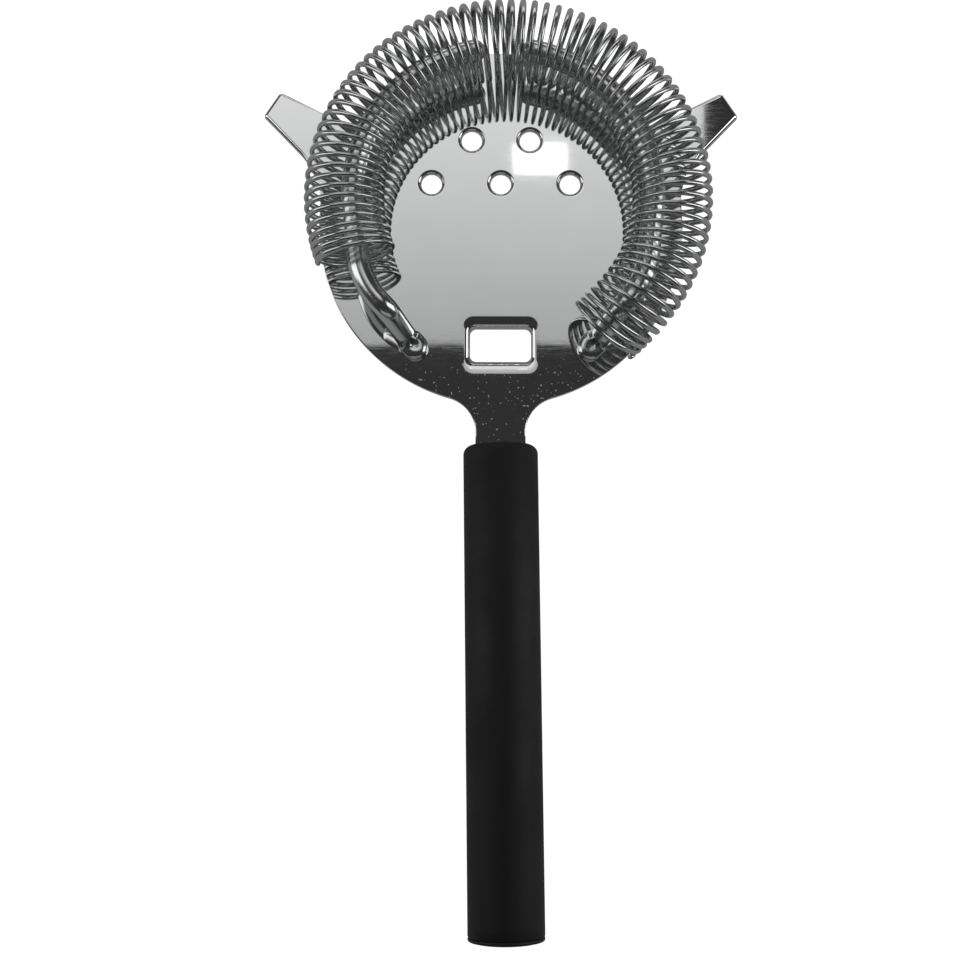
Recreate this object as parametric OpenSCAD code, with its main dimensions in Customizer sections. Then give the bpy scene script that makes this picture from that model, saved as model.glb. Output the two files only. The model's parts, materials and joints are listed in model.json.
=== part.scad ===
// Hawthorne cocktail strainer: a steel plate with ears, two bent rods that
// carry a coil spring, and a tubular handle with a black grip sleeve.
// Millimetres. The origin is the middle of the disc on its flat outer face,
// +Z points to the coil side and the handle runs along -Y.

/* [Plate] */
// Diameter of the strainer disc
plate_d = 82.6; // [80:0.2:86]
// Thickness of the sheet
plate_t = 1.3; // [1:0.1:1.6]
// Width of the neck between disc and handle
neck_w = 11.2; // [9:0.1:11.2]
// Radius of the fillets between disc and neck
neck_fillet = 8; // [4:0.5:10]
// Diameter of the drain holes
hole_d = 4.7; // [4.2:0.1:5]
// Radius of the coined edge round the drain holes
coin_r = 0.9; // [0.5:0.1:0.9]
// Clear width of the finger slot
slot_w = 13.8; // [12:0.2:15]
// Clear height of the finger slot
slot_h = 7.6; // [6.6:0.2:8.4]
// Radius of the rolled edge round the slot
slot_roll = 1.2; // [0.8:0.1:1.2]

/* [Coil] */
// Outer diameter of the coil
coil_d = 17.7; // [17:0.1:18]
// Diameter of the spring wire
wire_d = 1.1; // [0.9:0.05:1.2]
// Radius of the arc that the coil is bent to
coil_arc_r = 36; // [35.5:0.1:36.4]
// Number of open turns
open_turns = 69; // [60:1:70]

/* [Rods] */
// Diameter of the two rods inside the coil
rod_d = 5; // [4:0.1:5.2]
// Radius of the rods' front arc
rod_arc_r = 33; // [32.6:0.1:33.4]
// Width of the gap between the rods' free ends
rod_gap = 13; // [8:0.5:16]

/* [Handle] */
// Diameter of the grip sleeve
grip_d = 16.6; // [16:0.2:18]
// Length of the grip sleeve
grip_len = 105.8; // [80:0.2:120]
// Outer diameter of the steel core tube
tube_d = 13.2; // [12.8:0.1:13.6]

/* [Hidden] */

$fn = 96;
eps = 0.01;

plate_r = plate_d / 2;
neck_end_y = -50.4;

// Drain holes: one in the middle of the rear row and two mirrored pairs.
hole_centres = [[0, 10.1], [15.8, 10.1], [-15.8, 10.1], [6.65, 20.4], [-6.65, 20.4]];
slot_y = -27.3;
slot_corner = 1.5;
slot_lip = 1.2;
slot_lip_t = 0.9;

// Ear outline on the right side, drawn outwards from the disc.
ear_upper_root = [30, 21.1];
ear_upper_tip = [50.8, 32.1];
ear_lower_tip = [54.6, 26.2];
ear_lower_mid = [46.1, 17.3];
ear_lower_fillet = 18;
ear_upper_fillet = 2.5;
ear_corner = 1;

// Axis height of the rods and of the coil above the plate's outer face.
arc_z = plate_t + 12;

// The coil is a torus-shaped helix about this point.
coil_centre = [1.55, 3];
coil_from = -112.8;
coil_to = 145.5;
closed_turns = 3;
closed_gap = 0.06;
// The last turns dip towards the plate, so that the coil's right end passes
// under the rod where that turns down to its foot.
coil_dip = 2.9;
coil_dip_from = 124;
// Towards both ends the turns lean until they stand square to the rods.
coil_lean = 11;
coil_lean_span = 25;
turn_steps = 12;
wire_sides = 5;

// Each rod: front arc, straight side, rear arc, drop to the plate and a
// flattened foot that is welded down.
rod_centre = [0.45, 4.05];
rod_front_end = 96;
rod_side_len = 11;
rod_rear_r = 18;
rod_rear_turn = 38;
rod_drop_turn = 60;
rod_drop_r = 3.5;
rod_land_r = 2;
foot_len = 0.8;
foot_t = 2.6;
foot_w = 6;
rod_sides = 16;
rod_drop = arc_z - plate_t - foot_t / 2;
rod_drop_len = (rod_drop - (rod_drop_r + rod_land_r) * (1 - cos(rod_drop_turn)))
               / sin(rod_drop_turn);

// Handle pieces share one axis, half way through the sheet, which leaves the
// neck at a slight angle to the head's middle line.
handle_z = plate_t / 2;
handle_swing = 0.75;
neck_tip = 6;
grip_wall = (grip_d - tube_d) / 2;
grip_lip = 2;
grip_nose_r = 1.8;
plug_d = tube_d - 2;
plug_len = 26;
tang_w = 8;
tang_len = 22;
pin_d = 3;
pin_inset = 13;
cap_t = 0.9;
cap_dome = 0.6;
spigot_len = 7;
fit_gap = 0.1;

// Unit vector of v.
function unit(v) = v / norm(v);

// Centre of the fillet circle of radius rf that touches the disc's rim and the
// edge through p along d (towards the disc), on the side of the normal n.
function fillet_centre(p, d, n, rf) =
  let (q = p + rf * n, b = q * d)
  q + d * (-b - sqrt(b * b - q * q + pow(plate_r + rf, 2)));

// Puts children at the neck's end, turned to the handle's course.
module on_handle() {
  translate([0, neck_end_y]) rotate(handle_swing) children();
}

// Flat web that fills the corner between the rim and a straight edge.
module rim_fillet(p, d, n, rf) {
  c = fillet_centre(p, d, n, rf);
  on_rim = c * plate_r / (plate_r + rf);
  on_edge = c - rf * n;
  difference() {
    polygon([on_rim * 0.9, on_rim, c, on_edge, on_edge - 3 * n, on_edge - 3 * n + (rf + 2) * d]);
    translate(c) circle(rf);
  }
}

// Points of a polygon's corner b rounded to radius r, between a and c.
function corner_arc(a, b, c, r, steps = 6) =
  let (
    u = unit(a - b),
    v = unit(c - b),
    half = acos(u * v) / 2,
    m = b + unit(u + v) * r / sin(half),
    s = b + u * r / tan(half) - m,
    e = b + v * r / tan(half) - m,
    turn = acos(s * e / (r * r)) * sign(s[0] * e[1] - s[1] * e[0])
  )
  [for (i = [0:steps]) let (t = turn * i / steps)
    m + [s[0] * cos(t) - s[1] * sin(t), s[0] * sin(t) + s[1] * cos(t)]];

module ear_outline() {
  lower_dir = unit(ear_lower_mid - ear_lower_tip);
  upper_dir = unit(ear_upper_root - ear_upper_tip);
  inner = [30, 12];
  polygon(concat(
    [inner, ear_lower_mid + 4 * lower_dir],
    corner_arc(ear_lower_mid, ear_lower_tip, ear_upper_tip, ear_corner),
    corner_arc(ear_lower_tip, ear_upper_tip, ear_upper_root, ear_corner),
    [ear_upper_root]));
  rim_fillet(ear_lower_tip, lower_dir, [-lower_dir[1], lower_dir[0]], ear_lower_fillet);
  rim_fillet(ear_upper_tip, upper_dir, [upper_dir[1], -upper_dir[0]], ear_upper_fillet);
}

module half_neck_outline() {
  rim_fillet([neck_w / 2, neck_end_y - 20], [0, 1], [1, 0], neck_fillet);
}

module plate_outline() {
  circle(plate_r);
  translate([-neck_w / 2, neck_end_y + neck_tip / 2]) square([neck_w, -neck_end_y - plate_r]);
  on_handle() {
    translate([-neck_w / 2, 0]) square([neck_w, neck_tip]);
    translate([-tang_w / 2, -tang_len]) square([tang_w, tang_len + 1]);
  }
  for (side = [0, 1]) mirror([side, 0]) {
    ear_outline();
    half_neck_outline();
  }
}

// Section of the rounded edge: x counts from the wall outwards, y = 0 is the
// coil-side face.
module coin_section() {
  difference() {
    translate([-1, -coin_r]) square([1 + coin_r, coin_r + eps]);
    translate([coin_r, -coin_r]) circle(coin_r);
  }
}

// Tool for one drain hole: straight bore with a rounded mouth.
module drain_cut() {
  translate([0, 0, -1]) cylinder(d = hole_d, h = plate_t + 2);
  translate([0, 0, plate_t]) rotate_extrude() intersection() {
    translate([hole_d / 2, 0]) coin_section();
    translate([hole_d / 2 - 0.5, -2]) square([3, 4]);
  }
}

// The slot's outline, grown by margin on all sides.
module slot_outline(margin) {
  r = slot_corner + margin / 2;
  x = slot_w / 2 + margin - r;
  y = slot_h / 2 + margin - r;
  for (cx = [-x, x], cy = [-y, y]) translate([cx, cy]) circle(r);
  square([2 * (x + r), 2 * y], center = true);
  square([2 * x, 2 * (y + r)], center = true);
}

// Tool for the slot: straight well with a dished mouth cut in steps.
module slot_cut() {
  steps = 5;
  translate([0, slot_y, -5]) linear_extrude(10) slot_outline(0);
  for (i = [1:steps]) {
    lean = 90 * i / (steps + 1);
    translate([0, slot_y, plate_t - slot_roll * (1 - sin(lean))]) linear_extrude(5)
      slot_outline(slot_roll * (1 - cos(lean)));
  }
}

module strainer_plate() {
  color("silver") difference() {
    union() {
      linear_extrude(plate_t) plate_outline();
      translate([0, slot_y, -slot_lip]) linear_extrude(slot_lip + eps)
        slot_outline(slot_lip_t);
    }
    for (c = hole_centres) translate([c[0], c[1], 0]) drain_cut();
    slot_cut();
    pin_hole();
  }
}

// Length of an arc of radius r.
function arc_len(r, turn) = r * turn * PI / 180;

// Half of the angle between the rods' free ends, seen from the arc's centre.
rod_tip = asin(rod_gap / 2 / rod_arc_r);

// Stretches of the right rod from its free end: length, change of heading,
// change of dip and number of steps.
rod_stretches = [
  [arc_len(rod_arc_r, rod_front_end - rod_tip), rod_front_end - rod_tip, 0, 20],
  [rod_side_len, 0, 0, 2],
  [arc_len(rod_rear_r, rod_rear_turn), rod_rear_turn, 0, 8],
  [arc_len(rod_drop_r, rod_drop_turn), 0, rod_drop_turn, 8],
  [rod_drop_len, 0, 0, 1],
  [arc_len(rod_land_r, rod_drop_turn), 0, -rod_drop_turn, 8],
  [foot_len, 0, 0, 1]
];
land_steps = rod_stretches[5][3] + rod_stretches[6][3];
rod_moves = [for (s = rod_stretches) each [for (i = [1:s[3]]) [s[0], s[1], s[2]] / s[3]]];

// Unit vectors along the rod, to its side and upwards, for a heading from +Y
// towards +X and a dip below the horizontal.
function rod_ahead(heading, dip) = [sin(heading) * cos(dip), cos(heading) * cos(dip), -sin(dip)];
function rod_side(heading) = [cos(heading), -sin(heading), 0];
function rod_up(heading, dip) = [sin(heading) * sin(dip), cos(heading) * sin(dip), cos(dip)];

// Stations [point, heading, dip] along the right rod's axis.
rod_track = [for (
    i = 0,
    m = rod_moves[0],
    heading = 90 + rod_tip,
    dip = 0,
    p = [rod_centre[0] + rod_gap / 2, rod_centre[1] + rod_arc_r * cos(rod_tip), arc_z];
    i <= len(rod_moves);
    p = p + m[0] * rod_ahead(heading + m[1] / 2, dip + m[2] / 2),
    heading = heading + m[1],
    dip = dip + m[2],
    i = i + 1,
    m = rod_moves[min(i, len(rod_moves) - 1)]
  ) [p, heading, dip]];

// Oval ring of width w and thickness t round a station, moved ahead by shift.
function rod_ring(station, w, t, shift = 0) =
  let (
    p = station[0] + shift * rod_ahead(station[1], station[2]),
    across = rod_side(station[1]) * w / 2,
    above = rod_up(station[1], station[2]) * t / 2
  )
  [for (j = [0:rod_sides - 1]) let (b = 360 * j / rod_sides) p + across * cos(b) + above * sin(b)];

// The rod is round up to its landing, where it is pressed flat into the foot.
module right_rod() {
  last = len(rod_track) - 1;
  nose = [for (a = [75:-15:15]) rod_ring(rod_track[0], rod_d * cos(a), rod_d * cos(a), -rod_d / 2 * sin(a))];
  bar = [for (i = [0:last]) let (flat = min(max(2 * (i - last + land_steps) / land_steps, 0), 1))
    rod_ring(rod_track[i], rod_d + flat * (foot_w - rod_d), rod_d + flat * (foot_t - rod_d))];
  toe = [for (a = [15:15:75]) rod_ring(rod_track[last], foot_w * cos(a), foot_t, foot_w / 2 * sin(a))];
  tube_mesh(concat(nose, bar, toe));
}

// Closed tube through a list of rings with equal numbers of points.
module tube_mesh(rings) {
  n = len(rings[0]);
  last = len(rings) - 1;
  walls = [for (i = [0:last - 1], j = [0:n - 1])
    let (k = (j + 1) % n, a = i * n, b = a + n) [a + j, a + k, b + k, b + j]];
  caps = [[for (j = [n - 1:-1:0]) j], [for (j = [0:n - 1]) last * n + j]];
  polyhedron([for (ring = rings) each ring], concat(caps, walls));
}

module rod_right() {
  color("gainsboro") right_rod();
}

module rod_left() {
  color("gainsboro") translate([2 * rod_centre[0], 0, 0]) mirror([1, 0, 0]) right_rod();
}

// Angle along the arc after t turns: closed turns at both ends, open between.
closed_pitch = (wire_d + closed_gap) / (coil_arc_r - (coil_d - wire_d) / 2) * 180 / PI;
open_pitch = (coil_to - coil_from - 2 * closed_turns * closed_pitch) / open_turns;
all_turns = open_turns + 2 * closed_turns;
function coil_angle(t) =
  coil_from
  + closed_pitch * (min(t, closed_turns) + max(t - closed_turns - open_turns, 0))
  + open_pitch * min(max(t - closed_turns, 0), open_turns);

// Falls from 1 at an end of the coil to 0 further in.
function end_share(angle) = max(1 - angle / coil_lean_span, 0);

// Point of the coil's wire, dr off its centre line and da along the arc.
function coil_point(t, dr, da) =
  let (
    r = (coil_d - wire_d) / 2 + dr,
    out = r * cos(360 * t),
    up = r * sin(360 * t),
    share = max(coil_angle(t) - coil_dip_from, 0) / (coil_to - coil_dip_from),
    slope = 2 * coil_dip * share / arc_len(coil_arc_r, coil_to - coil_dip_from),
    lean = tan(coil_lean) * (end_share(coil_angle(t) - coil_from) - end_share(coil_to - coil_angle(t))),
    a = coil_angle(t) + (da + slope * up + lean * out) / coil_arc_r * 180 / PI
  )
  [coil_centre[0] + (coil_arc_r + out) * sin(a), coil_centre[1] + (coil_arc_r + out) * cos(a),
   arc_z - coil_dip * share * share + up];

module coil_spring() {
  rings = [for (i = [0:all_turns * turn_steps])
    [for (j = [0:wire_sides - 1]) let (b = 360 * j / wire_sides)
      coil_point(i / turn_steps, wire_d / 2 * cos(b), wire_d / 2 * sin(b))]];
  color("silver") tube_mesh(rings);
}

// Moves children on to the handle's axis, so far from the neck's end: local +Z
// runs to the handle's end.
module along_handle(dist) {
  on_handle() translate([0, -dist, handle_z]) rotate([90, 0, 0]) children();
}

// Cross hole through everything that the pin holds.
module pin_hole() {
  on_handle() translate([0, -pin_inset, -20]) cylinder(d = pin_d, h = 40);
}

module tang_plug() {
  color("silver") difference() {
    along_handle(0) cylinder(d = plug_d, h = plug_len);
    on_handle() translate([-tang_w / 2, -tang_len, 0]) cube([tang_w, tang_len + 1, plate_t]);
    pin_hole();
  }
}

module core_tube() {
  color("silver") difference() {
    along_handle(grip_lip) difference() {
      cylinder(d = tube_d, h = grip_len - grip_lip);
      translate([0, 0, -1]) cylinder(d = plug_d, h = grip_len);
    }
    pin_hole();
  }
}

module tang_pin() {
  pin_len = 2 * sqrt(pow(tube_d / 2, 2) - pow(pin_d / 2, 2));
  color("dimgray") on_handle() translate([0, -pin_inset, handle_z - pin_len / 2])
    cylinder(d = pin_d, h = pin_len);
}

module grip_sleeve() {
  nose = grip_d / 2 - grip_nose_r;
  mouth = plug_d / 2 + fit_gap;
  color([0.1, 0.1, 0.1]) along_handle(0) rotate_extrude() difference() {
    union() {
      translate([mouth, 0]) square([nose - mouth, grip_lip]);
      translate([nose, grip_nose_r]) circle(grip_nose_r);
      translate([tube_d / 2, grip_nose_r]) square([grip_wall, grip_len - grip_nose_r]);
    }
    translate([0, -eps]) square([mouth, grip_len]);
    translate([0, grip_lip]) square([tube_d / 2, grip_len]);
  }
}

module end_cap() {
  dome_r = (pow(grip_d / 2, 2) + cap_dome * cap_dome) / (2 * cap_dome);
  color([0.12, 0.12, 0.12]) along_handle(grip_len) {
    cylinder(d = grip_d, h = cap_t);
    intersection() {
      cylinder(d = grip_d, h = cap_t + cap_dome);
      rotate_extrude() intersection() {
        square([grip_d, cap_t + cap_dome]);
        translate([0, cap_t + cap_dome - dome_r]) circle(dome_r, $fn = 720);
      }
    }
    translate([0, 0, -spigot_len]) cylinder(d = plug_d - 2 * fit_gap, h = spigot_len + eps);
  }
}

strainer_plate();
rod_left();
rod_right();
coil_spring();
core_tube();
tang_plug();
tang_pin();
grip_sleeve();
end_cap();
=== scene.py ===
"""Looks of a hawthorne strainer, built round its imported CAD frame.

Shapes are worked out in millimetres in the frame's own axes: +Y to the front of
the head, +Z to the coil side. add_piece() turns them into metres.
"""

import json
import math

import bpy
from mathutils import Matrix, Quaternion, Vector, noise
from mathutils.geometry import tessellate_polygon


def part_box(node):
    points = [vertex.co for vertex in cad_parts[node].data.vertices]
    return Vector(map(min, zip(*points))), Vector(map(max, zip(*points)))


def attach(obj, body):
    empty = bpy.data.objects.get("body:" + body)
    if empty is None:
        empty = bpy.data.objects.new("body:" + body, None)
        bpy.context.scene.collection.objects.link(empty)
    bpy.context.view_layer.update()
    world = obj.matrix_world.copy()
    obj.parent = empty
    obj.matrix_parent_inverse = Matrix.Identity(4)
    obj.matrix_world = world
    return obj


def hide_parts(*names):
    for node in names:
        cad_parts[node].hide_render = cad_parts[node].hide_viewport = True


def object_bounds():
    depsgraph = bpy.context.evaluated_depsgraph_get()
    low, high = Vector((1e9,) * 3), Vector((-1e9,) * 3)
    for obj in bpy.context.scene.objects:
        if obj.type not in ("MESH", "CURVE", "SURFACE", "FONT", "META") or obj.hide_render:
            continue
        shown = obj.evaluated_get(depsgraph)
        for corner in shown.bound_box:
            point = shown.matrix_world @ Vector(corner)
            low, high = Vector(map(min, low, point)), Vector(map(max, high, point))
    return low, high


MM = 0.001
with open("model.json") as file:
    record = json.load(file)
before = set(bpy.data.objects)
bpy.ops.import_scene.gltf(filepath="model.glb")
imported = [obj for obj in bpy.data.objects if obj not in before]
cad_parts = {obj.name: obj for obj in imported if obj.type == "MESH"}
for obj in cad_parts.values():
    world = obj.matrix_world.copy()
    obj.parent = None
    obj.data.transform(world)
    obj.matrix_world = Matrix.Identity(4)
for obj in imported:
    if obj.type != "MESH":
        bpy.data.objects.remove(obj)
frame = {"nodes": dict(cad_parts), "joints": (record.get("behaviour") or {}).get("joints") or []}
cad_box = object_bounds()


def node_box(node):
    """Lowest and highest corner of a CAD node, in millimetres."""
    return [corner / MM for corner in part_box(node)]


PLATE_LO, PLATE_HI = node_box("strainer_plate")
COIL_HI = node_box("coil_spring")[1]
FLOOR_Z = cad_box[0].z

# Plate
PLATE_R = 41.3
PLATE_T = PLATE_HI.z
NECK_HALF = 5.6
NECK_END_Y = -50.4
NECK_FILLET = 8.0
TANG_HALF = 4.0
TANG_LEN = 22.0
EDGE_R = 0.25
HOLE_R = 2.35
HOLE_MOUTH_R = 0.9
HOLE_BACK_R = 0.12
HOLES = [(0, 10.1), (15.8, 10.1), (-15.8, 10.1), (6.65, 20.4), (-6.65, 20.4)]
SLOT_Y = -27.3
SLOT_W = 13.8
SLOT_H = 7.6
SLOT_CORNER = 1.5
SLOT_CORNER_GROWTH = 0.6
SLOT_LIP_Z = PLATE_LO.z
SLOT_LIP_T = 0.9
SLOT_LIP_ROUND = 0.2
SLOT_LIP_ROOT = 0.5

# Dish round the slot: its reach in front, the shares of that reach at the sides
# and behind, its share of the lip's depth, and how steeply it turns in at the slot.
DISH_REACH = 4.2
DISH_SIDE = 0.7
DISH_REAR = 1.2
DISH_SINK = 0.8
DISH_POWER = 7

# Ears. Their top edge is rounded wider than the disc's: ROLL_GAIN more, reached
# over ROLL_SPAN beyond x = ROLL_FROM.
EAR_UPPER_ROOT = Vector((30, 21.1))
EAR_UPPER_TIP = Vector((50.8, 32.1))
EAR_LOWER_TIP = Vector((54.6, 26.2))
EAR_LOWER_MID = Vector((46.1, 17.3))
EAR_LOWER_FILLET = 18.0
EAR_UPPER_FILLET = 2.5
EAR_CORNER = 1.0
ROLL_GAIN = 3.2
ROLL_FROM = 42
ROLL_SPAN = 5

# Coil
COIL_CENTRE = Vector(frame["joints"][0]["pos_m"]) / MM
COIL_R = COIL_HI.z - COIL_CENTRE.z
COIL_ARC_R = COIL_HI.x - COIL_CENTRE.x - COIL_R
WIRE_R = 0.55
COIL_FROM = -112.8
COIL_TO = 145.5
COIL_DIP = 2.9
COIL_DIP_FROM = 124
COIL_LEAN = math.radians(11)
COIL_LEAN_SPAN = 25
OPEN_TURNS = 69
CLOSED_TURNS = 3
CLOSED_GAP = 0.06

# Uneven spacing of the open turns: size in degrees, pace per turn, place in the noise
WANDER = 0.22
WANDER_PACE = 0.9
WANDER_SEED = 3.1

# Rods
ROD_R = 2.5
ROD_CENTRE = Vector((0.45, 4.05))
ROD_ARC_R = 33.0
ROD_GAP = 13.0
ROD_FRONT_END = 96
ROD_SIDE_LEN = 11.0
ROD_REAR_R = 18.0
ROD_REAR_TURN = 38
ROD_DROP_TURN = 60
ROD_DROP_R = 3.5
ROD_LAND_R = 2.0
FOOT_LEN = 0.8
FOOT_T = 2.6
FOOT_W = 6.0
FOOT_BLUNT = 0.4
WELD_R = 0.9
WELD_SINK = 0.45

# The bar flattens between these numbers of stations before the foot's end.
FLATTEN_FROM = 20
FLATTEN_TO = 10

# Handle: its axis is half way through the sheet and swings off the head's
# middle line at the neck's end.
HANDLE_SWING = math.radians(0.75)
GRIP_R = 8.3
GRIP_LEN = 105.8
GRIP_MOUTH_R = 5.7
GRIP_BORE_R = 6.7
GRIP_LIP = 2.0
GRIP_CHAMFER = 0.15
GRIP_RIM = 0.3
NOSE_DROP = 2.6
NOSE_LEN = 2.1
NOSE_POWER = 1.2
CAP_T = 0.9
CAP_DOME = 0.6
CAP_DOME_RISE = 0.55
CAP_EDGE = 0.45
SPIGOT_R = 5.5
SPIGOT_LEN = 7.0
SPIGOT_CHAMFER = 0.3
SPIGOT_LEAD = 0.4
POLE_R = 0.3

# Small marks on the neck fade out towards the disc between these two y, in metres.
MARKS_FULL_Y = -0.038
MARKS_END_Y = -0.028

# Point that the studio's side strips face
HEAD = (0, 0, 0)


# ---------------------------------------------------------------- mesh helpers


def add_piece(name, verts, faces, material, body, replaced, normals=None):
    """Mesh piece from millimetre points; normals holds one direction per point."""
    mesh = bpy.data.meshes.new(name)
    mesh.from_pydata([Vector(v) * MM for v in verts], [], faces)
    mesh.validate()
    for poly in mesh.polygons:
        poly.use_smooth = True
    mesh.materials.append(material)
    if normals:
        mesh.normals_split_custom_set_from_vertices([Vector(n).normalized() for n in normals])
    mesh.update()
    piece = bpy.data.objects.new(name, mesh)
    bpy.context.scene.collection.objects.link(piece)
    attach(piece, body)
    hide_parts(*replaced)
    return piece


def bridge(faces, low, high, closed=True):
    """Quads between two rings of point numbers."""
    count = len(low)
    for j in range(count if closed else count - 1):
        k = (j + 1) % count
        faces.append((low[j], low[k], high[k], high[j]))


def ring_tube(rings):
    """Points and faces of a closed tube through rings of equal size."""
    size = len(rings[0])
    verts = [p for ring in rings for p in ring]
    rows = [list(range(i * size, (i + 1) * size)) for i in range(len(rings))]
    faces = []
    for low, high in zip(rows, rows[1:]):
        bridge(faces, low, high)
    faces.append(tuple(reversed(rows[0])))
    faces.append(tuple(rows[-1]))
    return verts, faces


def on_handle(x, dist):
    """Point x to the right of the handle's middle and dist beyond the neck's end."""
    cos, sin = math.cos(HANDLE_SWING), math.sin(HANDLE_SWING)
    return Vector((x * cos + dist * sin, NECK_END_Y + x * sin - dist * cos))


def lathe(profile, steps=96):
    """Tube round the handle's axis through (radius, distance) stations."""
    rings = []
    for radius, dist in profile:
        ring = []
        for j in range(steps):
            b = math.tau * j / steps
            flat = on_handle(radius * math.cos(b), dist)
            ring.append((flat.x, flat.y, PLATE_T / 2 + radius * math.sin(b)))
        rings.append(ring)
    return ring_tube(rings)


def arc(centre, radius, start, end, step=4.0):
    """Points on an arc from start to end degrees, both included."""
    count = max(2, math.ceil(abs(end - start) / step))
    angles = [math.radians(start + (end - start) * i / count) for i in range(count + 1)]
    return [centre + radius * Vector((math.cos(a), math.sin(a))) for a in angles]


def heading(v):
    """Direction of a flat vector in degrees."""
    return math.degrees(math.atan2(v.y, v.x))


# ---------------------------------------------------------------- plate


def fillet_centre(point, towards, outward, radius):
    """Centre of the circle that touches the disc's rim and the edge through point."""
    q = point + radius * outward
    b = q.dot(towards)
    return q + towards * (-b - math.sqrt(b * b - q.dot(q) + (PLATE_R + radius) ** 2))


def rounded_corner(before, corner, after, radius):
    """Points of a convex corner rounded to radius."""
    u = (before - corner).normalized()
    v = (after - corner).normalized()
    half = math.acos(u.dot(v)) / 2
    middle = corner + (u + v).normalized() * radius / math.sin(half)
    start = heading(corner + u * radius / math.tan(half) - middle)
    end = heading(corner + v * radius / math.tan(half) - middle)
    if end < start:
        end += 360
    return arc(middle, radius, start, end, step=12)


def plate_outline():
    """Outline of the stamping, anticlockwise from the neck's right side."""
    neck_corner = Vector((NECK_HALF, NECK_END_Y))
    neck_c = fillet_centre(neck_corner, Vector((0, 1)), Vector((1, 0)), NECK_FILLET)
    low_dir = (EAR_LOWER_MID - EAR_LOWER_TIP).normalized()
    low_out = Vector((-low_dir.y, low_dir.x))
    low_c = fillet_centre(EAR_LOWER_TIP, low_dir, low_out, EAR_LOWER_FILLET)
    up_dir = (EAR_UPPER_ROOT - EAR_UPPER_TIP).normalized()
    up_out = Vector((up_dir.y, -up_dir.x))
    up_c = fillet_centre(EAR_UPPER_TIP, up_dir, up_out, EAR_UPPER_FILLET)
    origin = Vector((0, 0))
    right = arc(neck_c, NECK_FILLET, 180, heading(-neck_c), step=5)
    right += arc(origin, PLATE_R, heading(neck_c), heading(low_c), step=1.5)[1:-1]
    right += arc(low_c, EAR_LOWER_FILLET, heading(-low_c) + 360, heading(-low_out), step=3)
    right += rounded_corner(EAR_LOWER_MID, EAR_LOWER_TIP, EAR_UPPER_TIP, EAR_CORNER)
    right += rounded_corner(EAR_LOWER_TIP, EAR_UPPER_TIP, EAR_UPPER_ROOT, EAR_CORNER)
    right += arc(up_c, EAR_UPPER_FILLET, heading(-up_out), heading(-up_c), step=10)
    right += arc(origin, PLATE_R, heading(up_c), 90, step=1.5)[1:]
    left = [Vector((-p.x, p.y)) for p in reversed(right[:-1])]
    tang = [
        on_handle(-NECK_HALF, 0),
        on_handle(-TANG_HALF, 0),
        on_handle(-TANG_HALF, TANG_LEN),
        on_handle(TANG_HALF, TANG_LEN),
        on_handle(TANG_HALF, 0),
        on_handle(NECK_HALF, 0),
    ]
    return right + left + tang


def loop_normals(loop):
    """Outward direction at each point of an anticlockwise loop."""
    result = []
    for i, p in enumerate(loop):
        along = (loop[(i + 1) % len(loop)] - p).normalized() + (p - loop[i - 1]).normalized()
        result.append(Vector((along.y, -along.x)).normalized())
    return result


def slot_loop(side, front, rear):
    """Rounded rectangle round the slot, grown by a different margin on each side."""
    radius = SLOT_CORNER + SLOT_CORNER_GROWTH * side
    points = []
    for sx, sy, start in ((1, 1, 0), (-1, 1, 90), (-1, -1, 180), (1, -1, 270)):
        margin = front if sy > 0 else rear
        across = SLOT_W / 2 + side - radius
        along = SLOT_H / 2 + margin - radius
        corner = Vector((sx * across, SLOT_Y + sy * along))
        points += arc(corner, radius, start, start + 90, step=9)
    return points


class Sheet:
    """Collects the plate's points with their exact normals, and its faces."""

    def __init__(self):
        self.verts = []
        self.normals = []
        self.faces = []

    def ring(self, loop, z, outward, tilt):
        """Adds one ring; tilt is the normal's lean from +Z towards outward."""
        first = len(self.verts)
        for p, out in zip(loop, outward):
            self.verts.append((p.x, p.y, z))
            flat = out * math.sin(tilt)
            self.normals.append((flat.x, flat.y, math.cos(tilt)))
        return list(range(first, len(self.verts)))

    def wall(self, loop, stations, flip, grow=None):
        """Rings at (margin, z, tilt) stations round one loop; returns them all.

        grow(point) multiplies the margin and the drop below the sheet's top.
        """
        outward = loop_normals(loop)
        rings = []
        for margin, z, tilt in stations:
            scale = [grow(p) if grow and z > PLATE_T / 2 else 1.0 for p in loop]
            moved = [p + out * margin * k for p, out, k in zip(loop, outward, scale)]
            ring = self.ring(moved, z, outward, tilt)
            for i, k in zip(ring, scale):
                x, y, _ = self.verts[i]
                self.verts[i] = (x, y, PLATE_T - (PLATE_T - z) * k)
            rings.append(ring)
        for low, high in zip(rings, rings[1:]):
            bridge(self.faces, *((high, low) if flip else (low, high)))
        return rings

    def cap(self, rings, up):
        """Flat face between an outer ring and the rings of its openings."""
        order = [i for ring in rings for i in ring]
        loops = [[Vector(self.verts[i]) for i in ring] for ring in rings]
        for tri in tessellate_polygon(loops):
            a, b, c = (order[i] for i in tri)
            pa, pb, pc = (Vector(self.verts[i]) for i in (a, b, c))
            facing_up = (pb - pa).cross(pc - pa).z > 0
            self.faces.append((a, b, c) if facing_up == up else (a, c, b))


def quarter(radius, z, steps=4, top=True):
    """(margin, z, tilt) stations of a rounded edge that ends on the wall."""
    stations = []
    for i in range(steps + 1):
        a = math.pi / 2 * i / steps
        drop = radius * (1 - math.cos(a))
        margin = radius * (math.sin(a) - 1)
        stations.append((margin, z - drop if top else z + drop, a if top else math.pi - a))
    return stations if top else stations[::-1]


def ear_roll(point):
    """How much wider the sheet's top edge is rounded than elsewhere: most on the ears."""
    return 1 + ROLL_GAIN * min(max((abs(point.x) - ROLL_FROM) / ROLL_SPAN, 0), 1)


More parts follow.
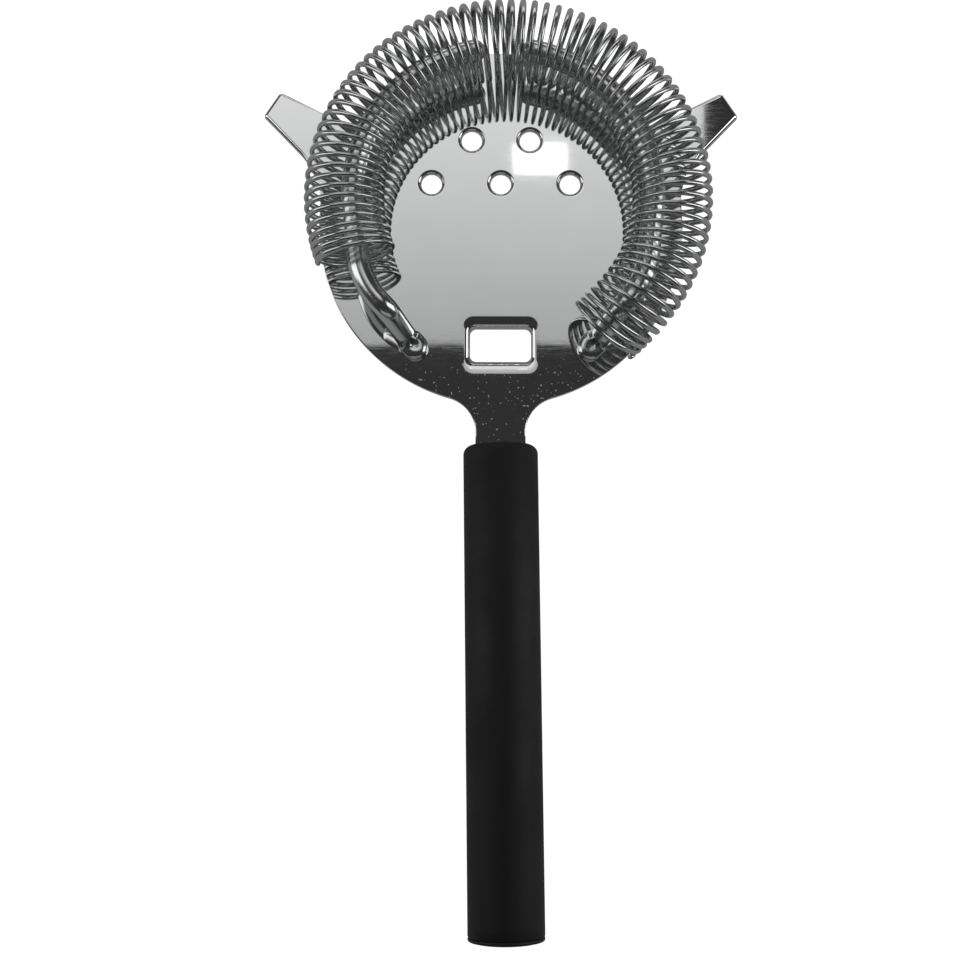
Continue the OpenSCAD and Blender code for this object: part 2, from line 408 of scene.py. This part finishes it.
def make_plate(material):
    """Polished stamping with its holes, slot, ears, neck and tang."""
    sheet = Sheet()
    outline = sheet.wall(
        plate_outline(),
        quarter(EDGE_R, PLATE_T, 6) + quarter(EDGE_R, 0, top=False),
        flip=True,
        grow=ear_roll,
    )
    tops, bottoms = [outline[0]], [outline[-1]]
    for x, y in HOLES:
        loop = arc(Vector((x, y)), HOLE_R, 0, 360, step=7.5)[:-1]
        mouth = [(-m, z, -a) for m, z, a in quarter(HOLE_MOUTH_R, PLATE_T, 6)]
        foot = [(-m, z, -a) for m, z, a in quarter(HOLE_BACK_R, 0, 2, top=False)]
        rings = sheet.wall(loop, mouth + foot, flip=False)
        tops.append(rings[0])
        bottoms.append(rings[-1])
    top, bottom = make_slot(sheet)
    sheet.cap(tops + [top], up=True)
    sheet.cap(bottoms + [bottom], up=False)
    return add_piece(
        "plate_polished", sheet.verts, sheet.faces, material, "frame",
        ["strainer_plate"], sheet.normals,
    )


def make_slot(sheet):
    """Slot with an edge dished into a short wall; returns its two outer rings."""
    depth = DISH_SINK * (PLATE_T - SLOT_LIP_Z)
    stations = []
    for share in (1, 0.8, 0.62, 0.46, 0.33, 0.22, 0.13, 0.06, 0.02, 0):
        sink = depth * (1 - math.sqrt(1 - (1 - share) ** DISH_POWER))
        stations.append((share * DISH_REACH, PLATE_T - sink))
    rings = []
    for i, (margin, z) in enumerate(stations):
        before = stations[max(i - 1, 0)]
        after = stations[min(i + 1, len(stations) - 1)]
        run, fall = before[0] - after[0], before[1] - after[1]
        tilt = 0.0 if i == 0 else math.atan2(fall, run)
        loop = slot_loop(margin * DISH_SIDE, margin, margin * DISH_REAR)
        rings.append(sheet.ring(loop, z, loop_normals(loop), -tilt))
    for margin, z, tilt in (
        (0, SLOT_LIP_Z + SLOT_LIP_ROUND, -math.pi / 2),
        (SLOT_LIP_ROUND, SLOT_LIP_Z, -math.pi),
        (SLOT_LIP_T - SLOT_LIP_ROUND, SLOT_LIP_Z, math.pi),
        (SLOT_LIP_T, SLOT_LIP_Z + SLOT_LIP_ROUND, math.pi / 2),
        (SLOT_LIP_T, -SLOT_LIP_ROOT, math.pi / 2),
        (SLOT_LIP_T + SLOT_LIP_ROOT, 0, math.pi),
    ):
        loop = slot_loop(margin, margin, margin)
        rings.append(sheet.ring(loop, z, loop_normals(loop), tilt))
    for low, high in zip(rings, rings[1:]):
        bridge(sheet.faces, low, high)
    return rings[0], rings[-1]


# ---------------------------------------------------------------- rods and coil


def rod_stations():
    """Stations (point, heading, dip) of the right rod from free end to foot."""
    tip = math.asin(ROD_GAP / 2 / ROD_ARC_R)
    front = math.radians(ROD_FRONT_END) - tip
    rear = math.radians(ROD_REAR_TURN)
    dip_turn = math.radians(ROD_DROP_TURN)
    drop = COIL_CENTRE.z - PLATE_T - FOOT_T / 2
    straight = (drop - (ROD_DROP_R + ROD_LAND_R) * (1 - math.cos(dip_turn))) / math.sin(dip_turn)
    # Each stretch is (length, turn, fall, steps).
    stretches = [
        (ROD_ARC_R * front, front, 0, 60),
        (ROD_SIDE_LEN, 0, 0, 8),
        (ROD_REAR_R * rear, rear, 0, 16),
        (ROD_DROP_R * dip_turn, 0, dip_turn, 12),
        (straight, 0, 0, 4),
        (ROD_LAND_R * dip_turn, 0, -dip_turn, 12),
        (FOOT_LEN, 0, 0, 6),
    ]
    tip_x = ROD_CENTRE.x + ROD_GAP / 2
    tip_y = ROD_CENTRE.y + ROD_ARC_R * math.cos(tip)
    point = Vector((tip_x, tip_y, COIL_CENTRE.z))
    course, dip = math.pi / 2 + tip, 0.0
    stations = [(point.copy(), course, dip)]
    for length, turn, fall, steps in stretches:
        for _ in range(steps):
            point = point + length / steps * ahead(course + turn / steps / 2, dip + fall / steps / 2)
            course += turn / steps
            dip += fall / steps
            stations.append((point.copy(), course, dip))
    return stations


def ahead(course, dip):
    """Unit vector on a course clockwise from +Y that dips below the level."""
    level = math.cos(dip)
    return Vector((math.sin(course) * level, math.cos(course) * level, -math.sin(dip)))


def rod_ring(station, width, thick, shift=0.0, sides=32):
    """Oval ring square to the rod at a station, moved ahead by shift."""
    point, course, dip = station
    point = point + shift * ahead(course, dip)
    across = Vector((math.cos(course), -math.sin(course), 0))
    rise = math.sin(dip)
    above = Vector((math.sin(course) * rise, math.cos(course) * rise, math.cos(dip)))
    ring = []
    for j in range(sides):
        b = math.tau * j / sides
        ring.append(point + across * (width / 2 * math.cos(b)) + above * (thick / 2 * math.sin(b)))
    return ring


def smooth_step(x):
    """Eases from 0 to 1 while x goes from 0 to 1."""
    x = min(max(x, 0), 1)
    return x * x * (3 - 2 * x)


def make_rod(name, side, material, node):
    """Bent bar with a rounded free end and a flat foot; side -1 mirrors it."""
    stations = rod_stations()
    last = len(stations) - 1
    rings = []
    for lean in (80, 65, 50, 35, 20, 8):
        a = math.radians(lean)
        size = 2 * ROD_R * math.cos(a)
        rings.append(rod_ring(stations[0], size, size, -ROD_R * math.sin(a)))
    for i, station in enumerate(stations):
        flat = smooth_step((i - last + FLATTEN_FROM) / (FLATTEN_FROM - FLATTEN_TO))
        width = 2 * ROD_R + flat * (FOOT_W - 2 * ROD_R)
        thick = 2 * ROD_R + flat * (FOOT_T - 2 * ROD_R)
        rings.append(rod_ring(station, width, thick))
    for lean in (12, 25, 40, 55, 70, 82):
        a = math.radians(lean)
        width = FOOT_W * math.cos(a)
        thick = FOOT_T * math.cos(a) ** FOOT_BLUNT
        rings.append(rod_ring(stations[last], width, thick, FOOT_W / 2 * math.sin(a)))
    verts, faces = ring_tube(rings)
    weld = stations[last][0]
    for v in verts:
        if v.z > weld.z:
            spread = (v.xy - weld.xy).length / WELD_R
            v.z -= WELD_SINK * math.exp(-spread ** 4)
    if side < 0:
        verts = [Vector((2 * ROD_CENTRE.x - v.x, v.y, v.z)) for v in verts]
        faces = [tuple(reversed(f)) for f in faces]
    return add_piece(name, verts, faces, material, "frame", [node])


def coil_angle(turns):
    """Degrees along the arc after so many turns."""
    closed_pitch = math.degrees((2 * WIRE_R + CLOSED_GAP) / (COIL_ARC_R - COIL_R + WIRE_R))
    open_pitch = (COIL_TO - COIL_FROM - 2 * CLOSED_TURNS * closed_pitch) / OPEN_TURNS
    opened = min(max(turns - CLOSED_TURNS, 0), OPEN_TURNS)
    closed = min(turns, CLOSED_TURNS) + max(turns - CLOSED_TURNS - OPEN_TURNS, 0)
    loose = math.sin(math.pi * opened / OPEN_TURNS)
    wander = WANDER * loose * noise.noise(Vector((turns * WANDER_PACE, WANDER_SEED, 0)))
    return COIL_FROM + closed_pitch * closed + open_pitch * opened + wander


def coil_point(turns, dr, da):
    """Point by the wire's axis, dr off it across the coil's tube and da along the arc."""
    along = coil_angle(turns)
    radius = COIL_R - WIRE_R + dr
    out = radius * math.cos(math.tau * turns)
    up = radius * math.sin(math.tau * turns)
    share = max(along - COIL_DIP_FROM, 0) / (COIL_TO - COIL_DIP_FROM)
    slope = 2 * COIL_DIP * share / (COIL_ARC_R * math.radians(COIL_TO - COIL_DIP_FROM))
    from_start = max(1 - (along - COIL_FROM) / COIL_LEAN_SPAN, 0)
    from_end = max(1 - (COIL_TO - along) / COIL_LEAN_SPAN, 0)
    lean = math.tan(COIL_LEAN) * (from_start - from_end)
    angle = math.radians(along) + (da + slope * up + lean * out) / COIL_ARC_R
    return Vector((
        COIL_CENTRE.x + (COIL_ARC_R + out) * math.sin(angle),
        COIL_CENTRE.y + (COIL_ARC_R + out) * math.cos(angle),
        COIL_CENTRE.z - COIL_DIP * share * share + up,
    ))


def make_coil(material):
    """One round wire through all the turns."""
    steps, sides = 48, 12
    rings = []
    for i in range((OPEN_TURNS + 2 * CLOSED_TURNS) * steps + 1):
        ring = []
        for j in range(sides):
            b = math.tau * j / sides
            ring.append(coil_point(i / steps, WIRE_R * math.cos(b), WIRE_R * math.sin(b)))
        rings.append(ring)
    verts, faces = ring_tube(rings)
    return add_piece("coil_wire", verts, faces, material, "coil", ["coil_spring"])


# ---------------------------------------------------------------- handle


def make_grip(material):
    """Sleeve with a rounded nose and a lip at its mouth, hollow for the tube."""
    inner = [
        (GRIP_BORE_R, GRIP_LIP),
        (GRIP_MOUTH_R, GRIP_LIP),
        (GRIP_MOUTH_R, GRIP_CHAMFER),
        (GRIP_MOUTH_R + GRIP_CHAMFER, 0),
    ]
    nose_steps = 10
    outer = []
    for i in range(nose_steps + 1):
        a = math.pi / 2 * i / nose_steps
        radius = GRIP_R - NOSE_DROP * (1 - math.sin(a))
        outer.append((radius, NOSE_LEN * (1 - math.cos(a)) ** NOSE_POWER))
    first_gap, ring_gap, end_gap = 1.4, 2.5, 1
    dist = NOSE_LEN + first_gap
    while dist < GRIP_LEN - end_gap:
        outer.append((GRIP_R, dist))
        dist += ring_gap
    rim = [
        (GRIP_R, GRIP_LEN - GRIP_RIM),
        (GRIP_R - 0.4 * GRIP_RIM, GRIP_LEN - 0.08),
        (GRIP_R - GRIP_RIM, GRIP_LEN),
    ]
    profile = inner + outer + rim + [(GRIP_BORE_R, GRIP_LEN)]
    verts, faces = lathe(profile)
    size = len(verts) // len(profile)
    faces = faces[:-2]
    bridge(faces, list(range(len(verts) - size, len(verts))), list(range(size)))
    return add_piece("grip_rubber", verts, faces, material, "frame", ["grip_sleeve"])


def make_cap(material):
    """End cap with a spigot in the sleeve, a rounded edge and a domed end."""
    front = GRIP_LEN - SPIGOT_LEN
    end = GRIP_LEN + CAP_T + CAP_DOME
    profile = [
        (POLE_R, front),
        (SPIGOT_R - SPIGOT_CHAMFER, front),
        (SPIGOT_R, front + SPIGOT_LEAD),
        (SPIGOT_R, GRIP_LEN),
        (GRIP_R - GRIP_RIM, GRIP_LEN),
        (GRIP_R - 0.05, GRIP_LEN + 0.15),
    ]
    edge_steps = 6
    for i in range(edge_steps + 1):
        a = math.pi / 2 * i / edge_steps
        radius = GRIP_R - CAP_EDGE * (1 - math.cos(a))
        profile.append((radius, GRIP_LEN + CAP_T - CAP_EDGE * (1 - math.sin(a))))
    for share in (0.85, 0.7, 0.5, 0.3, 0.12, 0.02):
        profile.append((GRIP_R * share, end - CAP_DOME_RISE * share * share))
    verts, faces = lathe(profile)
    return add_piece("cap_black", verts, faces, material, "frame", ["end_cap"])


# ---------------------------------------------------------------- materials


def node_material(name):
    """Material with its shader and the coordinates of the unmoved piece."""
    material = bpy.data.materials.new(name)
    material.use_nodes = True
    tree = material.node_tree
    shader = tree.nodes["Principled BSDF"]
    place = tree.nodes.new("ShaderNodeTexCoord").outputs["Object"]
    return material, tree, shader, place


def noise_value(tree, place, scale, detail=3.0, stretch=(1, 1, 1)):
    """Noise of so many cells to the metre, finer along an axis with a larger stretch."""
    mapping = tree.nodes.new("ShaderNodeMapping")
    mapping.inputs["Scale"].default_value = [scale * s for s in stretch]
    tree.links.new(place, mapping.inputs["Vector"])
    texture = tree.nodes.new("ShaderNodeTexNoise")
    texture.inputs["Scale"].default_value = 1.0
    texture.inputs["Detail"].default_value = detail
    tree.links.new(mapping.outputs["Vector"], texture.inputs["Vector"])
    return texture.outputs["Fac"]


def ramp_range(tree, value, low, high, from_low=0.3, from_high=0.7):
    """Value moved from the range from_low to from_high to low to high, and clamped."""
    remap = tree.nodes.new("ShaderNodeMapRange")
    remap.inputs["From Min"].default_value = from_low
    remap.inputs["From Max"].default_value = from_high
    remap.inputs["To Min"].default_value = low
    remap.inputs["To Max"].default_value = high
    tree.links.new(value, remap.inputs["Value"])
    return remap.outputs["Result"]


def combine(tree, operation, first, second):
    """Result of a math operation on two values."""
    math_node = tree.nodes.new("ShaderNodeMath")
    math_node.operation = operation
    tree.links.new(first, math_node.inputs[0])
    tree.links.new(second, math_node.inputs[1])
    return math_node.outputs["Value"]


def add_bump(tree, shader, layers):
    """Stacks bump layers given as (height, strength, distance in metres)."""
    normal = None
    for height, strength, distance in layers:
        bump = tree.nodes.new("ShaderNodeBump")
        bump.inputs["Strength"].default_value = strength
        bump.inputs["Distance"].default_value = distance
        tree.links.new(height, bump.inputs["Height"])
        if normal:
            tree.links.new(normal, bump.inputs["Normal"])
        normal = bump.outputs["Normal"]
    tree.links.new(normal, shader.inputs["Normal"])


def mix_colour(tree, value, low, high):
    """Colour between low and high by value."""
    mix = tree.nodes.new("ShaderNodeMix")
    mix.data_type = "RGBA"
    mix.inputs["A"].default_value = (*low, 1)
    mix.inputs["B"].default_value = (*high, 1)
    tree.links.new(value, mix.inputs["Factor"])
    return mix.outputs["Result"]


def steel(name, tone, rough, grain, wave, speck=0.0):
    """Stainless steel; rough is a range, grain the fine bump, wave the slow one.

    speck is the roughness of small marks scattered over the neck.
    """
    material, tree, shader, place = node_material(name)
    shader.inputs["Metallic"].default_value = 1.0
    cloud = noise_value(tree, place, scale=90)
    fine = noise_value(tree, place, scale=2600, detail=4)
    scratch = noise_value(tree, place, scale=300, detail=2, stretch=(1, 14, 1))
    tree.links.new(
        mix_colour(tree, cloud, [c * 0.94 for c in tone], tone), shader.inputs["Base Color"]
    )
    roughness = ramp_range(tree, scratch, *rough)
    if speck:
        parts = tree.nodes.new("ShaderNodeSeparateXYZ")
        tree.links.new(place, parts.inputs["Vector"])
        neck = ramp_range(tree, parts.outputs["Y"], 1, 0, MARKS_FULL_Y, MARKS_END_Y)
        dots = noise_value(tree, place, scale=1700, detail=0)
        marks = ramp_range(tree, dots, 0, speck, from_low=0.75, from_high=0.8)
        roughness = combine(tree, "MAXIMUM", roughness, combine(tree, "MULTIPLY", marks, neck))
    tree.links.new(roughness, shader.inputs["Roughness"])
    slow = noise_value(tree, place, scale=45, detail=1)
    add_bump(tree, shader, [(slow, 1.0, wave), (fine, 1.0, grain)])
    return material


def soft_black(name, tone, rough, grain):
    """Matt black rubber or plastic; rough is a range and grain the fine bump."""
    material, tree, shader, place = node_material(name)
    fine = noise_value(tree, place, scale=3200, detail=5)
    patch = noise_value(tree, place, scale=60, detail=3)
    tree.links.new(
        mix_colour(tree, patch, tone, [c * 1.35 for c in tone]), shader.inputs["Base Color"]
    )
    tree.links.new(ramp_range(tree, patch, *rough), shader.inputs["Roughness"])
    shader.inputs["Specular IOR Level"].default_value = 0.35
    add_bump(tree, shader, [(patch, 0.5, 0.00006), (fine, 0.6, grain)])
    return material


# ---------------------------------------------------------------- studio


def stage_sheet(name, width, depth, place):
    """Flat rectangle that belongs to the studio and not to the object."""
    mesh = bpy.data.meshes.new(name)
    w, d = width / 2, depth / 2
    mesh.from_pydata([(-w, -d, 0), (w, -d, 0), (w, d, 0), (-w, d, 0)], [], [(0, 1, 2, 3)])
    sheet = bpy.data.objects.new(name, mesh)
    sheet.location = place
    bpy.context.scene.collection.objects.link(sheet)
    material, tree, shader, where = node_material(name)
    shader.inputs["Specular IOR Level"].default_value = 0
    mesh.materials.append(material)
    return sheet, tree, shader, where


def emitter(name, width, depth, place, strength, aim=None):
    """Evenly glowing panel that faces the point aim, or straight down."""
    panel, _, shader, _ = stage_sheet(name, width, depth, place)
    if aim:
        panel.rotation_euler = (Vector(aim) - Vector(place)).to_track_quat("-Z", "Y").to_euler()
    shader.inputs["Base Color"].default_value = (0, 0, 0, 1)
    shader.inputs["Emission Color"].default_value = (1, 1, 1, 1)
    shader.inputs["Emission Strength"].default_value = strength


def graded_emitter(name, width, depth, place, near, far, span):
    """Level panel whose glow goes from near at its rear edge to far, over span."""
    _, tree, shader, where = stage_sheet(name, width, depth, place)
    shader.inputs["Base Color"].default_value = (0, 0, 0, 1)
    shader.inputs["Emission Color"].default_value = (1, 1, 1, 1)
    parts = tree.nodes.new("ShaderNodeSeparateXYZ")
    tree.links.new(where, parts.inputs["Vector"])
    glow = ramp_range(tree, parts.outputs["Y"], near, far, -depth / 2, -depth / 2 + span)
    tree.links.new(glow, shader.inputs["Emission Strength"])


def seen_or_lit(tree, seen, lit):
    """Value that is seen by the camera but counts as lit in light and reflections."""
    path = tree.nodes.new("ShaderNodeLightPath")
    return ramp_range(tree, path.outputs["Is Camera Ray"], lit, seen, 0, 1)


def make_floor():
    """White sheet that stays dim in the steel's reflections."""
    _, tree, shader, _ = stage_sheet("floor", 6, 6, (0, 0, FLOOR_Z - 0.0002))
    shader.inputs["Base Color"].default_value = (0.5, 0.5, 0.5, 1)
    shader.inputs["Roughness"].default_value = 0.9
    shader.inputs["Emission Color"].default_value = (1, 1, 1, 1)
    tree.links.new(seen_or_lit(tree, 0.97, 0.12), shader.inputs["Emission Strength"])


def make_world():
    """White backdrop that lights the steel only faintly."""
    world = bpy.data.worlds.new("studio")
    bpy.context.scene.world = world
    world.use_nodes = True
    background = world.node_tree.nodes["Background"]
    background.inputs["Color"].default_value = (1, 1, 1, 1)
    world.node_tree.links.new(
        seen_or_lit(world.node_tree, 1.0, 0.035), background.inputs["Strength"]
    )


def make_camera():
    """Camera over the strainer, leaning back a little and turned with the handle."""
    distance, elevation, roll = 0.330, math.radians(82), math.radians(-0.6)
    target = Vector((-0.0042, -0.0592, 0))
    back = Vector((0, -math.cos(elevation), math.sin(elevation)))
    swing = Quaternion((0, 0, 1), HANDLE_SWING)
    data = bpy.data.cameras.new("camera")
    data.sensor_fit = "HORIZONTAL"
    data.sensor_width = 36
    data.lens = 55.11
    camera = bpy.data.objects.new("camera", data)
    camera.location = swing @ (target + back * distance)
    gaze = (-back).to_track_quat("-Z", "Y") @ Quaternion((0, 0, 1), roll)
    camera.rotation_euler = (swing @ gaze).to_euler()
    bpy.context.scene.collection.objects.link(camera)
    bpy.context.scene.camera = camera


polished = steel(
    "polished_plate", (0.80, 0.81, 0.81), rough=(0.02, 0.06), grain=1e-7, wave=3e-5, speck=0.5
)
bar_steel = steel("polished_bar", (0.70, 0.71, 0.71), rough=(0.16, 0.24), grain=4e-7, wave=2e-5)
wire_steel = steel("drawn_wire", (0.56, 0.57, 0.57), rough=(0.16, 0.26), grain=1e-6, wave=1e-5)
satin = steel("satin_core", (0.6, 0.6, 0.61), rough=(0.3, 0.45), grain=2e-6, wave=1e-5)
grip = soft_black("grip_rubber", (0.008, 0.008, 0.008), rough=(0.5, 0.7), grain=1e-5)
cap = soft_black("cap_plastic", (0.009, 0.009, 0.009), rough=(0.45, 0.6), grain=1e-5)

make_plate(polished)
make_rod("rod_bar_right", 1, bar_steel, "rod_right")
make_rod("rod_bar_left", -1, bar_steel, "rod_left")
make_coil(wire_steel)
make_grip(grip)
make_cap(cap)
for node in ("core_tube", "tang_plug", "tang_pin"):
    mesh = frame["nodes"][node].data
    mesh.materials.clear()
    mesh.materials.append(satin)

make_floor()
make_world()
graded_emitter("overhead", 0.62, 0.6, (-0.17, 0.42, 0.62), near=0.47, far=0.86, span=0.17)
emitter("overhead_window", 0.036, 0.022, (0.031, 0.244, 0.615), strength=1.7)
emitter("right_strip", 0.3, 0.7, (0.62, 0.05, 0.33), strength=2.2, aim=HEAD)
emitter("left_strip", 0.3, 0.7, (-0.62, 0.05, 0.28), strength=1.5, aim=HEAD)
emitter("front_strip", 1.0, 0.25, (0, 0.85, 0.22), strength=1.3, aim=HEAD)
emitter("rear_strip", 1.0, 0.3, (0, -0.9, 0.35), strength=0.4, aim=HEAD)
make_camera()
bpy.context.scene.view_settings.view_transform = "Standard"
